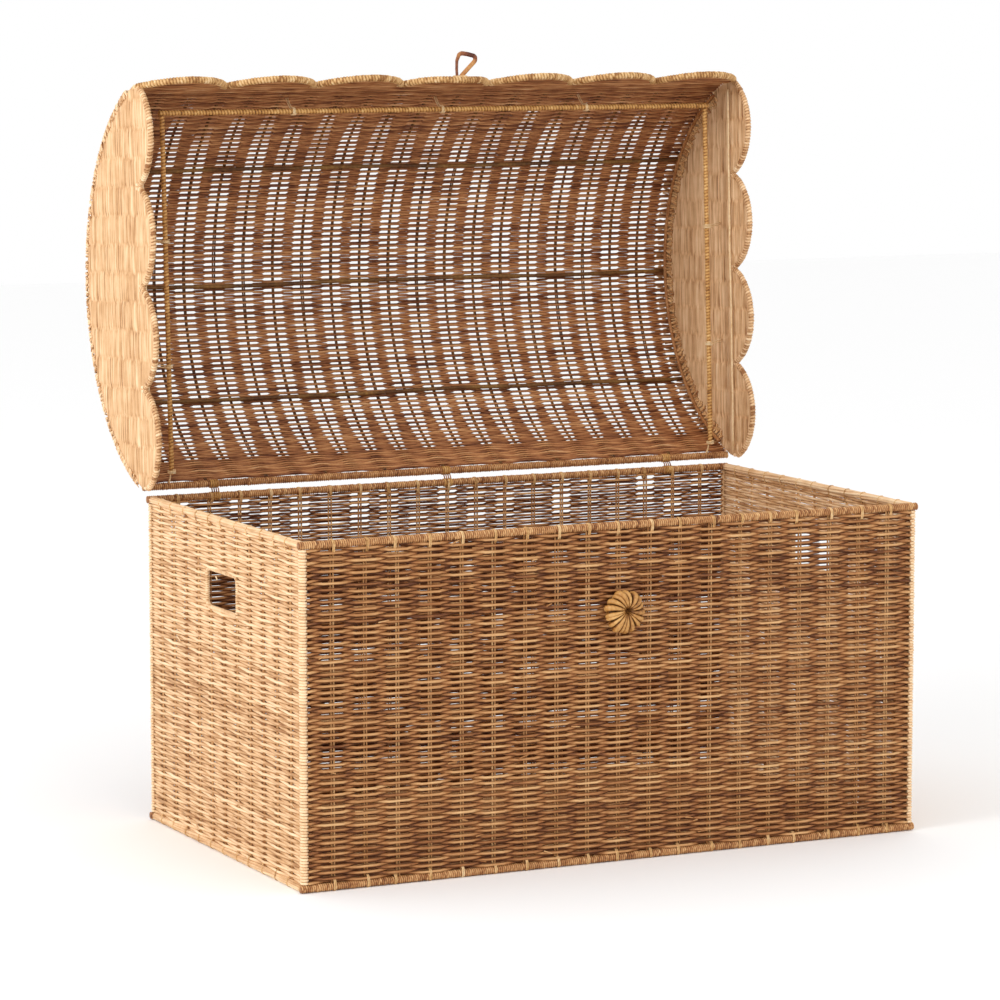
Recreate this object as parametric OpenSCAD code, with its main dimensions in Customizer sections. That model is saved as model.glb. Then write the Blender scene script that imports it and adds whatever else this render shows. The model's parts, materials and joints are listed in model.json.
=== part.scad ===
// Woven storage trunk: a rectangular base, a hinged domed lid that stands open, and a knob
// and loop catch. Millimetres, +X to the right, +Y to the back, +Z up. The origin is the
// centre of the underside. The lid is drawn open, where its bindings hold it.

/* [Base] */
// Outer width of the base, left to right
width = 800; // [640:10:960]
// Outer depth of the base, front to back
depth = 470; // [390:5:565]
// Height of the base to the top of its rim
height = 397; // [320:1:480]
// Diameter of the rim bars and corner posts
rim_d = 9.5; // [8.6:0.1:10.4]
// Thickness of a woven wall of the base
wall_t = 8; // [6.5:0.5:8.5]
// Distance between two stakes of the long walls
stake_pitch = 40; // [34:1:48]
// Diameter of a stake
stake_d = 3; // [2.4:0.2:3.2]

/* [Lid] */
// How far the lid reaches beyond the front of the base
lid_front_over = 18; // [16:1:26]
// How far the lid reaches beyond each end of the base
lid_side_over = 8.5; // [8.5:0.5:12]
// Height of the dome above the plane of the lid's rim
dome_rise = 164; // [135:1:190]
// Angle the lid stands open, from closed
open_angle = 92.75; // [85:0.25:100]
// Height of the hinge axis above the base's rim
hinge_lift = 5; // [5:0.25:8]
// Number of scallops along the lid's front edge
front_scallops = 7; // [7:2:9]
// Number of scallops along each end of the lid
side_scallops = 4; // [3:1:5]
// Depth of a scallop below the notch beside it
scallop_drop = 42; // [30:1:46]
// Diameter of the bars of the lid's inner frame
frame_d = 8; // [6:0.5:9]

/* [Openings and catch] */
// Length of a hand-hole
hole_w = 85; // [70:1:100]
// Height of a hand-hole
hole_h = 38; // [30:1:46]
// Depth of a hand-hole's centre below the rim
hole_drop = 87; // [75:1:100]
// Diameter of the catch's knob
knob_d = 50; // [40:1:54]
// Depth of the knob's centre below the rim
knob_drop = 104; // [104:1:120]
// Height of the closure loop above its eye
loop_h = 29; // [24:1:34]

/* [Hidden] */
rim_r = rim_d / 2;
tie_gap = 0.05;
tie_t = 0.8;
tie_w = 4;
half_w = width / 2;
half_d = depth / 2;
long_n = 2 * round(width / stake_pitch / 2);
long_pitch = width / long_n;
end_n = 2 * round(depth / stake_pitch / 2);
end_pitch = depth / end_n;
wall_end = rim_d;
slot = stake_d + 0.4;
stake_gap = 1.6;
floor_t = 5.3;
slat_t = 4;
slat_w = 24;
hole_z = height - hole_drop;
hole_ring = 5;
hole_ring_proud = 0.5;

lid_half = half_w + lid_side_over;
lid_front = depth + lid_front_over;
gable_t = 5.5;
gable_in = lid_half - gable_t;
skirt_t = 7;
skirt_in = lid_front - skirt_t;
dome_t = 7;
dome_u0 = 4;
dome_u1 = lid_front - 2.5;
dome_u = (dome_u0 + dome_u1) / 2;
dome_half = (dome_u1 - dome_u0) / 2;
dome_r = (dome_half * dome_half + dome_rise * dome_rise) / (2 * dome_rise);
dome_v = dome_rise - dome_r;
dome_in = dome_r - dome_t;
rear_u = rim_r;
rear_v = rim_r - hinge_lift + tie_gap + tie_t + 0.4;
rear_dist = norm([rear_u - dome_u, rear_v - dome_v]);
rear_angle = atan2(rear_v - dome_v, rear_u - dome_u);
dome_end = rear_angle - asin((rim_r + 1.2) / rear_dist);
front_angle = acos((skirt_in - dome_u) / (dome_r - dome_t / 2));
arch_r = frame_d / 2;
arch_dist = dome_in - arch_r;
arch_a0 = asin((3 - dome_v) / arch_dist);
arch_x = gable_in - arch_r;
bar_angles = [55.5, 91, 125.7];
strip_v = -20;
bind_r = 2;
front_pitch = 2 * lid_half / front_scallops;
side_pitch = (lid_front - 3) / side_scallops;
gable_pitch_n = 2 * round(lid_front / 35 / 2);
gable_stake_d = 2.5;
frame_r = frame_d / 2;
frame_v = -13;
frame_u = depth - 16;
frame_u0 = 20;
frame_x = half_w - 29;
frame_tie_x = width / 4;
frame_tie_u = [150, 300];
hinge_x = 0.39 * width;
hinge_w = 20;
hinge_t = 1;
hinge_xs = [-hinge_x, 0, hinge_x];
knob_z = height - knob_drop;
knob_t = 19.5;
pin_x = 7;
pin_w = 2.6;
eye_x = 5;
eye_u = lid_front + 3.5;
eye_v = -56;
eye_r = 1.5;
eye_w = 13;
loop_t = 1.6;

golden = [0.76, 0.56, 0.33];
straw = [0.88, 0.74, 0.54];
cane = [0.66, 0.44, 0.26];
brown = [0.55, 0.36, 0.22];
honey = [0.85, 0.62, 0.30];

// ---- shared shapes ----

function scallop_r(pitch) = (pitch * pitch / 4 + scallop_drop * scallop_drop) / (2 * scallop_drop);
function scallop_v(pitch) = -24 - scallop_drop + scallop_r(pitch);
function luv(x, u, v) = [x, -u, v];
function long_xs() = [for (j = [1:long_n - 1]) -half_w + j * long_pitch];
function end_ys() = [for (j = [1:end_n - 1]) -half_d + j * end_pitch];
function every_other(v) = [for (i = [0:2:len(v) - 1]) v[i]];

module bar_x(x0, x1, r) translate([x0, 0, 0]) rotate([0, 90, 0]) cylinder(h = x1 - x0, r = r);
module bar_y(y0, y1, r) translate([0, y0, 0]) rotate([-90, 0, 0]) cylinder(h = y1 - y0, r = r);
module box(x0, x1, y0, y1, z0, z1) translate([x0, y0, z0]) cube([x1 - x0, y1 - y0, z1 - z0]);

// A round rod from p to q.
module link(p, q, r) {
    d = q - p;
    len = norm(d);
    translate(p)
        rotate([0, acos(d[2] / len), atan2(d[1], d[0])])
            cylinder(h = len, r = r);
}

// A ring of rectangular section around a bar along X.
module ring_x(x, w, r_in, r_out) {
    translate([x - w / 2, 0, 0])
        rotate([0, 90, 0])
            difference() {
                cylinder(h = w, r = r_out);
                translate([0, 0, -1]) cylinder(h = w + 2, r = r_in);
            }
}

// Puts a part that is drawn closed, with its hinge axis on X, where the open lid holds it.
module place_lid() translate([0, half_d, height + hinge_lift]) rotate([-open_angle, 0, 0]) children();

// Extrudes a profile in (u, v) along X: u runs forward from the hinge and v up, lid closed.
module along_x(x0, x1) translate([x1, 0, 0]) rotate([90, 0, -90]) linear_extrude(x1 - x0) children();

// Extrudes a profile in (x, v) along u.
module along_u(u0, u1) translate([0, -u0, 0]) rotate([90, 0, 0]) linear_extrude(u1 - u0) children();

// Turns a section about the dome's axis from angle a0 to a1, at radius r and middle x.
module dome_arc(x, r, a0, a1) {
    translate([x, -dome_u, dome_v])
        rotate([90, 0, -90])
            rotate([0, 0, a0])
                rotate_extrude(angle = a1 - a0)
                    translate([r, 0])
                        children();
}

// A row of round lobes below the line v = -24.
module scallops(n, pitch, start, inset) {
    r = scallop_r(pitch);
    for (i = [0:n - 1])
        translate([start + (i + 0.5) * pitch, scallop_v(pitch)])
            circle(r = r - inset, $fn = 180);
}

// ---- base ----

module rim_long(y, z) color(golden) translate([0, y, z]) bar_x(-half_w, half_w, rim_r);
module rim_end(x, z) color(straw) translate([x, 0, z]) bar_y(rim_d - half_d, half_d - rim_d, rim_r);

module corner_post(i) {
    sx = i % 2 == 0 ? 1 : -1;
    sy = i > 2 ? 1 : -1;
    color(straw)
        translate([sx * (half_w - rim_r), sy * (half_d - rim_r), rim_d])
            cylinder(h = height - 2 * rim_d, r = rim_r);
}

// The wall's plate, standing between the rims, with a channel for each stake and notches
// for the ties. It runs along X and is centred on y = 0.
module wall_plate(half_len, stakes, ties, loops) {
    difference() {
        box(-half_len, half_len, -wall_t / 2, wall_t / 2, wall_end, height - wall_end);
        for (s = stakes)
            box(s - slot / 2, s + slot / 2, -slot / 2, slot / 2, 0, height);
        for (s = stakes)
            box(s - tie_w / 2 - 0.3, s + tie_w / 2 + 0.3, -wall_t, wall_t, height - wall_end - 1.1, height);
        for (s = ties)
            box(s - tie_w / 2 - 0.3, s + tie_w / 2 + 0.3, -wall_t, wall_t, 0, wall_end + 1.1);
        for (s = loops)
            box(s - hinge_w / 2 - 0.4, s + hinge_w / 2 + 0.4, -wall_t, wall_t,
                height - wall_end - 1.4, height);
    }
}

module long_wall(y, loops) {
    xs = long_xs();
    translate([0, y, 0]) wall_plate(half_w - rim_d, xs, every_other(xs), loops);
}

module front_wall() {
    color(cane)
        difference() {
            long_wall(rim_r - half_d, []);
            for (s = [-1, 1])
                box(s * pin_x - pin_w / 2 - 0.1, s * pin_x + pin_w / 2 + 0.1, -half_d - 1, -half_d + 20,
                    knob_z - pin_w / 2 - 0.1, knob_z + pin_w / 2 + 0.1);
        }
}

module back_wall() color(cane) long_wall(half_d - rim_r, hinge_xs);

module end_wall(side) {
    ys = end_ys();
    color(straw)
        difference() {
            translate([side * (half_w - rim_r), 0, 0])
                rotate([0, 0, 90])
                    wall_plate(half_d - rim_d, ys, every_other(ys), []);
            handhole_block(side, hole_ring, wall_t);
        }
}

module handhole_block(side, grow, t) {
    x = side * (half_w - rim_r);
    box(x - t / 2 - 1, x + t / 2 + 1, -hole_w / 2 - grow, hole_w / 2 + grow,
        hole_z - hole_h / 2 - grow, hole_z + hole_h / 2 + grow);
}

module handhole_rim(side) {
    x = side * (half_w - rim_r);
    t = wall_t / 2 + hole_ring_proud;
    color(honey)
        difference() {
            box(x - t, x + t, -hole_w / 2 - hole_ring, hole_w / 2 + hole_ring,
                hole_z - hole_h / 2 - hole_ring, hole_z + hole_h / 2 + hole_ring);
            handhole_block(side, 0, wall_t + 4);
        }
}

module stake(z0, z1) translate([0, 0, z0]) cylinder(h = z1 - z0, r = stake_d / 2);

module long_stakes(y) {
    color(brown)
        for (x = long_xs())
            translate([x, y, 0])
                stake(wall_end + stake_gap, height - wall_end - stake_gap);
}

module end_stakes(side) {
    cut = hole_w / 2 + hole_ring + stake_d / 2;
    gap = hole_h / 2 + hole_ring + 0.5;
    color(brown)
        for (y = end_ys())
            translate([side * (half_w - rim_r), y, 0])
                if (abs(y) < cut) {
                    stake(wall_end + stake_gap, hole_z - gap);
                    stake(hole_z + gap, height - wall_end - stake_gap);
                } else {
                    stake(wall_end + stake_gap, height - wall_end - stake_gap);
                }
}

module floor_panel() {
    x = half_w - rim_d - 0.9;
    y = half_d - rim_d - 0.9;
    color(cane) box(-x, x, -y, y, slat_t, slat_t + floor_t);
}

module floor_slat(i) {
    y = (i - 2) * 0.2 * depth;
    color(brown) box(rim_d - half_w, half_w - rim_d, y - slat_w / 2, y + slat_w / 2, 0, slat_t);
}

// Ties around the top and bottom bars of one side, drawn along X; those below stop at the floor.
module ties(top, bottom) {
    r_in = rim_r + tie_gap;
    for (s = top)
        translate([0, 0, height - rim_r]) ring_x(s, tie_w, r_in, r_in + tie_t);
    intersection() {
        box(-width, width, -rim_d, rim_d, 0, rim_d * 2);
        union()
            for (s = bottom)
                translate([0, 0, rim_r]) ring_x(s, tie_w, r_in, r_in + tie_t);
    }
}

function beside_loops(xs) =
    [for (x = xs) if (min([for (h = hinge_xs) abs(x - h)]) > hinge_w / 2 + tie_w / 2 + 0.5) x];

module long_ties(y, top) color(straw) translate([0, y, 0]) ties(top, every_other(long_xs()));

module end_ties(side) {
    ys = end_ys();
    color(straw)
        translate([side * (half_w - rim_r), 0, 0])
            rotate([0, 0, 90])
                ties(ys, every_other(ys));
}

module knob() {
    r = knob_d / 2;
    fat = knob_t / 2;
    color(honey)
        difference() {
            translate([0, -half_d, knob_z])
                rotate([90, 0, 0])
                    rotate_extrude()
                        intersection() {
                            union() {
                                translate([r - fat, fat]) circle(r = fat);
                                square([r - fat, knob_t - 2]);
                            }
                            square([r, knob_t]);
                        }
            translate([4, -half_d - knob_t - 1, knob_z + 2]) sphere(r = 6);
            for (s = [-1, 1])
                box(s * pin_x - pin_w / 2 - 0.1, s * pin_x + pin_w / 2 + 0.1, -half_d - 8, -half_d + 1,
                    knob_z - pin_w / 2 - 0.1, knob_z + pin_w / 2 + 0.1);
        }
}

module knob_lashing() {
    y1 = -half_d + rim_r + wall_t / 2 + 5;
    color(straw)
        for (s = [-1, 1])
            box(s * pin_x - pin_w / 2, s * pin_x + pin_w / 2, -half_d - 8, y1,
                knob_z - pin_w / 2, knob_z + pin_w / 2);
}

module knob_toggle() {
    y0 = -half_d + rim_r + wall_t / 2;
    color(brown)
        difference() {
            box(-22, 22, y0, y0 + 5, knob_z - 5, knob_z + 5);
            for (s = [-1, 1])
                box(s * pin_x - pin_w / 2 - 0.1, s * pin_x + pin_w / 2 + 0.1, y0 - 1, y0 + 6,
                    knob_z - pin_w / 2 - 0.1, knob_z + pin_w / 2 + 0.1);
        }
}

// A band that wraps most of a bar along X and is open for 80 degrees around the angle gap.
module open_band(x, gap) {
    translate([x, 0, 0])
        rotate([90, 0, -90])
            rotate([0, 0, gap + 40])
                rotate_extrude(angle = 280)
                    translate([rim_r + tie_gap, -hinge_w / 2])
                        square([hinge_t, hinge_w]);
}

module lower_hinge_loops() {
    color(straw)
        translate([0, half_d - rim_r, height - rim_r])
            for (x = hinge_xs)
                open_band(x, 90);
}

// ---- lid ----

module lid_rim_back() {
    color(golden) place_lid() translate(luv(0, rear_u, rear_v)) bar_x(-gable_in, gable_in, rim_r);
}

module lid_frame_front() {
    color(golden)
        place_lid()
            translate(luv(0, frame_u, frame_v))
                bar_x(-frame_x - frame_r, frame_x + frame_r, frame_r);
}

module lid_frame_side(side) {
    color(golden)
        place_lid()
            translate([side * frame_x, 0, frame_v])
                bar_y(frame_r - frame_u, -frame_u0, frame_r);
}

module dome_panel() {
    color(brown)
        place_lid()
            difference() {
                dome_arc(0, 0, 0, dome_end)
                    translate([dome_in, -gable_in])
                        square([dome_t, 2 * gable_in]);
                box(-width, width, -2 * depth, -skirt_in, -depth, depth);
                for (x = long_xs())
                    dome_arc(x, dome_in + dome_t / 2, 0, dome_end + 3)
                        square(slot, center = true);
            }
}

module gable_outline() {
    intersection() {
        translate([dome_u, dome_v]) circle(r = dome_r, $fn = 360);
        translate([3, strip_v]) square([lid_front - 3, dome_rise + depth]);
    }
    translate([3, strip_v]) square([lid_front - 3, 8 - strip_v]);
    intersection() {
        scallops(side_scallops, side_pitch, 3, 2 * bind_r + 0.1);
        translate([3, -depth]) square([lid_front - 3, depth]);
    }
}

module gable(side) {
    x0 = side > 0 ? gable_in : -lid_half;
    xc = side * (gable_in + gable_t / 2);
    s = gable_stake_d + 0.4;
    color(straw)
        place_lid()
            difference() {
                along_x(x0, x0 + gable_t) gable_outline();
                for (u = gable_us())
                    box(xc - s / 2, xc + s / 2, -u - s / 2, -u + s / 2, -depth, gable_top(u) + 0.6);
            }
}

function gable_us() = [for (j = [1:gable_pitch_n - 1]) 3 + j * (lid_front - 3) / gable_pitch_n];
function gable_top(u) = dome_v + sqrt(pow(dome_r - 5, 2) - pow(min(abs(u - dome_u) + 2, dome_r - 6), 2));

module gable_stakes(side) {
    xc = side * (gable_in + gable_t / 2);
    color(brown)
        place_lid()
            for (u = gable_us())
                translate(luv(xc, u, strip_v))
                    cylinder(h = gable_top(u) - strip_v, r = gable_stake_d / 2);
}

module front_skirt() {
    color(golden)
        place_lid()
            intersection() {
                along_u(skirt_in, lid_front)
                    intersection() {
                        union() {
                            translate([-gable_in, strip_v]) square([2 * gable_in, depth]);
                            scallops(front_scallops, front_pitch, -lid_half, 2 * bind_r + 0.1);
                        }
                        translate([-gable_in, -depth]) square([2 * gable_in, 2 * depth]);
                    }
                union() {
                    along_x(-gable_in, gable_in)
                        intersection() {
                            translate([dome_u, dome_v]) circle(r = dome_r, $fn = 360);
                            translate([dome_u, dome_v]) square(2 * dome_r);
                        }
                    box(-width, width, -lid_front, -skirt_in, -depth, -10);
                }
            }
}

module dome_bar(i) {
    a = bar_angles[i - 1];
    color(golden)
        place_lid()
            translate(luv(0, dome_u + arch_dist * cos(a), dome_v + arch_dist * sin(a)))
                bar_x(arch_r - arch_x, arch_x - arch_r, arch_r);
}

module arch(side) {
    color(honey) place_lid() dome_arc(side * arch_x, arch_dist, arch_a0, 180 - arch_a0) circle(r = arch_r);
}

module dome_stakes() {
    color(brown)
        place_lid()
            for (x = long_xs())
                dome_arc(x, dome_in + dome_t / 2, front_angle + 1, dome_end - 0.5)
                    circle(r = stake_d / 2);
}

// A rod along one lobe's edge, in (a, v); the rods of two lobes stay clear of each other.
module lobe_rod(pitch) {
    r = scallop_r(pitch) - bind_r;
    a = asin((pitch / 2 - 2.6) / r);
    rotate([0, 0, -90 - a]) rotate_extrude(angle = 2 * a) translate([r, 0]) circle(r = bind_r);
}

module front_edge_binding() {
    n = front_scallops;
    color(straw)
        place_lid()
            intersection() {
                translate(luv(0, skirt_in + skirt_t / 2, scallop_v(front_pitch)))
                    rotate([90, 0, 0])
                        for (i = [0:n - 1])
                            translate([(i + 0.5 - n / 2) * front_pitch, 0, 0])
                                lobe_rod(front_pitch);
                box(-gable_in + 0.2, gable_in - 0.2, -2 * depth, 0, -depth, depth);
            }
}

module side_edge_binding(side) {
    color(straw)
        place_lid()
            for (i = [0:side_scallops - 1])
                translate(luv(side * (gable_in + gable_t / 2), 3 + (i + 0.5) * side_pitch, scallop_v(side_pitch)))
                    rotate([90, 0, -90])
                        lobe_rod(side_pitch);
}

// A ring around a frame bar, with a cord from it to the point q.
module frame_tie(c, q, along) {
    difference() {
        union() {
            translate(c)
                rotate(along == "x" ? [0, 90, 0] : [90, 0, 0])
                    cylinder(h = 4, r = frame_r + 0.9, center = true);
            link(c, q, 1.2);
        }
        translate(c)
            rotate(along == "x" ? [0, 90, 0] : [90, 0, 0])
                cylinder(h = 30, r = frame_r + tie_gap, center = true);
    }
}

module frame_ties() {
    front_a = asin((15 - dome_v) / (dome_in - 1.1));
    color(straw)
        place_lid() {
            for (x = [-frame_tie_x, 0, frame_tie_x])
                frame_tie(luv(x, frame_u, frame_v),
                    luv(x, dome_u + (dome_in - 1.1) * cos(front_a), 15), "x");
            for (side = [-1, 1], u = frame_tie_u)
                frame_tie(luv(side * frame_x, u, frame_v), luv(side * (gable_in - 1), u, 8), "y");
            for (side = [-1, 1])
                difference() {
                    frame_tie(luv(side * frame_x, frame_u0 + 3, frame_v), luv(side * frame_x, rear_u, rear_v), "y");
                    translate(luv(side * frame_x, rear_u, rear_v)) bar_x(-5, 5, rim_r + tie_gap);
                }
        }
}

module upper_hinge_loops() {
    color(straw)
        place_lid()
            translate(luv(0, rear_u, rear_v))
                for (x = hinge_xs)
                    open_band(x, 270);
}

// The eye: a rod along X held off the skirt by two feet.
module loop_eye() {
    color(straw)
        place_lid() {
            translate(luv(eye_x, eye_u, eye_v)) bar_x(-eye_w / 2 - 3, eye_w / 2 + 3, eye_r);
            for (s = [-1, 1])
                difference() {
                    translate([0, 0, eye_v])
                        box(eye_x + s * (eye_w / 2 + 2) - 1.5, eye_x + s * (eye_w / 2 + 2) + 1.5,
                            -eye_u - 2.5, -lid_front, -2.5, 2.5);
                    translate(luv(eye_x, eye_u, eye_v)) bar_x(-eye_w / 2 - 3, eye_w / 2 + 3, eye_r);
                }
        }
}

module closure_loop() {
    w = eye_w / 2 - 0.5;
    leg = 4.5;
    color(honey)
        place_lid()
            translate(luv(eye_x, eye_u, eye_v))
                difference() {
                    union() {
                        bar_x(-w, w, eye_r + 1.55);
                        translate([0, 0, loop_t / 2])
                            rotate([180, 0, 0])
                                linear_extrude(loop_t)
                                    difference() {
                                        polygon([[-w, 0], [-w, 0.76 * loop_h], [-1, loop_h],
                                            [20, 0.9 * loop_h], [22, 0.72 * loop_h], [w, 4], [w, 0]]);
                                        polygon([[-w + leg, 6], [-w + leg, 0.7 * loop_h],
                                            [1, loop_h - leg - 0.5], [15.5, 0.9 * loop_h - leg], [1.6, 6]]);
                                    }
                    }
                    bar_x(-w - 1, w + 1, eye_r + 0.35);
                }
}

rim_long(rim_r - half_d, height - rim_r);  // top_rim_front
rim_long(half_d - rim_r, height - rim_r);  // top_rim_back
rim_end(rim_r - half_w, height - rim_r);  // top_rim_left
rim_end(half_w - rim_r, height - rim_r);  // top_rim_right
rim_long(rim_r - half_d, rim_r);  // bottom_rim_front
rim_long(half_d - rim_r, rim_r);  // bottom_rim_back
rim_end(rim_r - half_w, rim_r);  // bottom_rim_left
rim_end(half_w - rim_r, rim_r);  // bottom_rim_right
for (i = [1:4]) corner_post(i);
front_wall();
back_wall();
end_wall(-1);  // left_wall
end_wall(1);  // right_wall
long_stakes(rim_r - half_d);  // front_stakes
long_stakes(half_d - rim_r);  // back_stakes
end_stakes(-1);  // left_stakes
end_stakes(1);  // right_stakes
floor_panel();
for (i = [1:3]) floor_slat(i);
handhole_rim(-1);  // left_handhole_rim
handhole_rim(1);  // right_handhole_rim
long_ties(rim_r - half_d, long_xs());  // rim_ties_front
long_ties(half_d - rim_r, beside_loops(long_xs()));  // rim_ties_back
end_ties(-1);  // rim_ties_left
end_ties(1);  // rim_ties_right
knob();
knob_lashing();
knob_toggle();
lower_hinge_loops();
lid_rim_back();
lid_frame_front();
lid_frame_side(-1);  // lid_frame_left
lid_frame_side(1);  // lid_frame_right
dome_panel();
gable(-1);  // left_gable
gable(1);  // right_gable
front_skirt();
for (i = [1:3]) dome_bar(i);
arch(-1);  // left_arch
arch(1);  // right_arch
dome_stakes();
gable_stakes(-1);  // left_gable_stakes
gable_stakes(1);  // right_gable_stakes
front_edge_binding();
side_edge_binding(-1);  // left_edge_binding
side_edge_binding(1);  // right_edge_binding
frame_ties();
upper_hinge_loops();
loop_eye();
closure_loop();
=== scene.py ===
"""Woven cane storage trunk: a base with stakes, rims and hand-holes, and a domed lid that stands open."""

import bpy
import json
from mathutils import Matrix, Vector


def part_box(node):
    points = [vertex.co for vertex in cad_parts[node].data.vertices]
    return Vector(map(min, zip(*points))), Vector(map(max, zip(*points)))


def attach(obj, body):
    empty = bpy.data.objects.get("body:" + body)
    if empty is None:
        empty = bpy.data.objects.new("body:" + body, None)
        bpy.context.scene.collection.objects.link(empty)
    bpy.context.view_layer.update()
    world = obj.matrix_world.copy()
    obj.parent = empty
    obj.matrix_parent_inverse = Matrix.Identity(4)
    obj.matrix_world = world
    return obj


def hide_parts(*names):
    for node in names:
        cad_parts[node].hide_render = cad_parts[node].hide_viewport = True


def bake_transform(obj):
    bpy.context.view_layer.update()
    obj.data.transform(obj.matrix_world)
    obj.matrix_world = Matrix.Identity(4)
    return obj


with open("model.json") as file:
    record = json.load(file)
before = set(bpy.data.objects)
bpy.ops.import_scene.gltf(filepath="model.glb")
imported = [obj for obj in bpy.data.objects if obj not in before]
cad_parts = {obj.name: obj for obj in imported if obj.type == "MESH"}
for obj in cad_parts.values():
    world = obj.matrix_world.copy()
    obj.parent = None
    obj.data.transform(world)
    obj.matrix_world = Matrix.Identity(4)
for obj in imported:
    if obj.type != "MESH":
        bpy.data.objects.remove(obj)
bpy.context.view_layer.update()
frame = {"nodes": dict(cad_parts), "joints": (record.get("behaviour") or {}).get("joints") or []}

import json
import math

import bpy
import numpy as np

rng = np.random.default_rng(20)
TAU = 2 * math.pi
UP = np.array([0.0, 0.0, 1.0])


# ---- sizes, all taken from the CAD frame, in metres ----

def low(node):
    return np.array(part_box(node)[0])


def high(node):
    return np.array(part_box(node)[1])


HALF_W = high("top_rim_front")[0]
HALF_D = high("top_rim_back")[1]
HEIGHT = high("top_rim_front")[2]
RIM_R = (high("top_rim_front")[2] - low("top_rim_front")[2]) / 2
WALL_BOTTOM = low("front_wall")[2]
WALL_TOP = high("front_wall")[2]
SIDES = (-1, 1)

hinge = next(j for j in frame["joints"] if j["name"] == "lid_hinge")
PIVOT = np.array(hinge["pos_m"])
OPEN = math.radians(hinge["range_deg"][1])


def lid_point(x, u, v):
    """Row-frame points of a place on the lid: u runs forward from the hinge and v up, with the lid closed."""
    x, u, v = np.broadcast_arrays(x, u, v)
    return np.stack([
        x + 0.0,
        PIVOT[1] - u * math.cos(OPEN) + v * math.sin(OPEN),
        PIVOT[2] + u * math.sin(OPEN) + v * math.cos(OPEN),
    ], axis=-1)


def lid_direction(x, u, v):
    return lid_point(x, u, v) - lid_point(0, 0, 0)


def lid_box(node):
    """Lowest and highest x, u and v of a CAD node of the lid."""
    co = np.array([v.co for v in frame["nodes"][node].data.vertices]) - PIVOT
    u = co[:, 2] * math.sin(OPEN) - co[:, 1] * math.cos(OPEN)
    v = co[:, 1] * math.sin(OPEN) + co[:, 2] * math.cos(OPEN)
    local = np.stack([co[:, 0] + PIVOT[0], u, v], axis=-1)
    return local.min(0), local.max(0)


(_, SKIRT_IN, _), (_, LID_FRONT, _) = lid_box("front_skirt")
(GABLE_IN, GABLE_BACK, SCALLOP_LOW), (GABLE_OUT, _, DOME_TOP) = lid_box("right_gable")
# The dome is a circle's arc; its middle line lies half the panel's thickness inside it.
DOME_START, DOME_SHORT, DOME_HALF_T = 0.004, 0.0025, 0.0035
DOME_U = (DOME_START + LID_FRONT - DOME_SHORT) / 2
DOME_HALF = DOME_U - DOME_START
DOME_R = (DOME_HALF ** 2 + DOME_TOP ** 2) / (2 * DOME_TOP)
DOME_V = DOME_TOP - DOME_R
DOME_MID = DOME_R - DOME_HALF_T
GABLE_X = (GABLE_IN + GABLE_OUT) / 2
# The binding reaches below the gable, and a scallop is this deep below the notch beside it.
BINDING_DROP, SCALLOP_DEPTH = 0.004, 0.042
SCALLOP_LOW -= BINDING_DROP
NOTCH_V = SCALLOP_LOW + SCALLOP_DEPTH
REAR_BAR = (lid_box("lid_rim_back")[0] + lid_box("lid_rim_back")[1]) / 2
DOME_BACK = math.atan2(REAR_BAR[2] - DOME_V, REAR_BAR[1] - DOME_U) - 1.3 * RIM_R / DOME_R
SKIRT_U = (SKIRT_IN + LID_FRONT) / 2
DOME_FRONT = math.acos((SKIRT_U - DOME_U) / DOME_MID)


# ---- strands ----

def unit(v):
    v = np.asarray(v, float)
    return v / np.linalg.norm(v, axis=-1, keepdims=True)


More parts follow.
